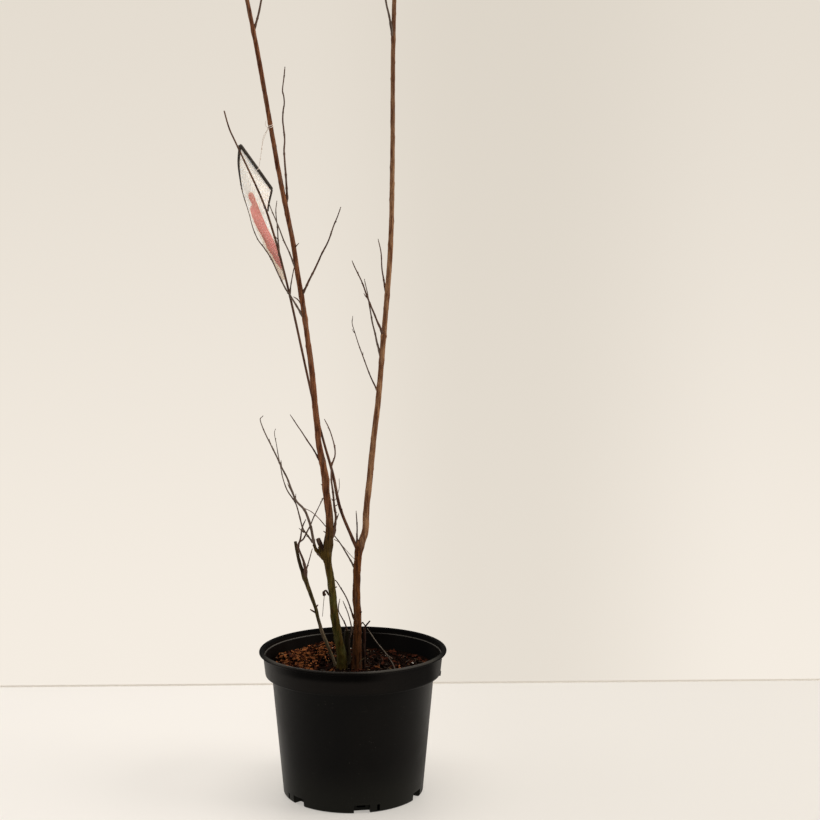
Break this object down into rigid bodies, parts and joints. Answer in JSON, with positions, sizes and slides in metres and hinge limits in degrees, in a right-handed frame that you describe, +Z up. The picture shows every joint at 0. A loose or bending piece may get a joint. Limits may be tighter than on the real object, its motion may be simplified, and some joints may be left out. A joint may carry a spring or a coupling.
{
  "type": "potted crape myrtle",
  "caption": "Bare winter shrub with tall slender stems, a long side shoot, pruned stubs and thin twigs, in a round nursery pot of bark mix, with a blank hang tag.",
  "frame": {"origin": "centre of the pot's flat underside, where it stands", "axes": "+Z up along the pot's axis, +X to the right seen from the front, -Y towards the front"},
  "size_m": [0.3371, 0.2272, 1.3042],
  "materials": {
    "pot_plastic": "satin",
    "potting_mix": "matte",
    "mossy_bark": "matte",
    "red_brown_bark": "matte",
    "dead_wood": "matte",
    "twigs": "matte",
    "tag_card": "satin",
    "tag_bar": "satin",
    "tag_thread": "matte"
  },
  "bodies": {
    "root": {"pot": "pot_plastic", "soil": "potting_mix", "left_stem": "mossy_bark", "right_stem": "red_brown_bark", "side_shoot": "red_brown_bark", "stub_stem": "mossy_bark", "old_stump": "mossy_bark", "dead_shoot": "dead_wood", "dry_stalk": "dead_wood", "fork_twigs_left": "twigs", "fork_twigs_right": "twigs", "low_left_twig": "twigs", "long_left_twig": "twigs", "cross_twig": "twigs", "right_reaching_twig": "twigs", "inner_twig": "twigs", "upright_twig": "twigs", "shoot_twig_low": "twigs", "shoot_twig_high": "twigs", "fork_sprig": "twigs", "right_twig_low": "twigs", "right_twig_mid": "twigs", "right_twig_high": "twigs", "right_twig_top": "twigs", "bridge_twig_high": "twigs", "bridge_twig_low": "twigs", "stump_twig_left": "twigs", "stump_twig_right": "twigs", "stub_twigs_right": "twigs", "left_top_twigs": "twigs", "right_top_twigs": "twigs", "stub_twig_low": "twigs", "left_crown_twigs_1": "twigs", "left_crown_twigs_2": "twigs", "left_crown_twigs_3": "twigs", "left_crown_twigs_4": "twigs", "left_crown_twigs_5": "twigs", "left_crown_twigs_6": "twigs", "right_crown_twigs_1": "twigs", "right_crown_twigs_2": "twigs", "right_crown_twigs_3": "twigs", "right_crown_twigs_4": "twigs", "right_crown_twigs_5": "twigs", "tag_card": "tag_card", "tag_bar": "tag_bar", "tag_thread": "tag_thread"}
  },
  "joints": []
}
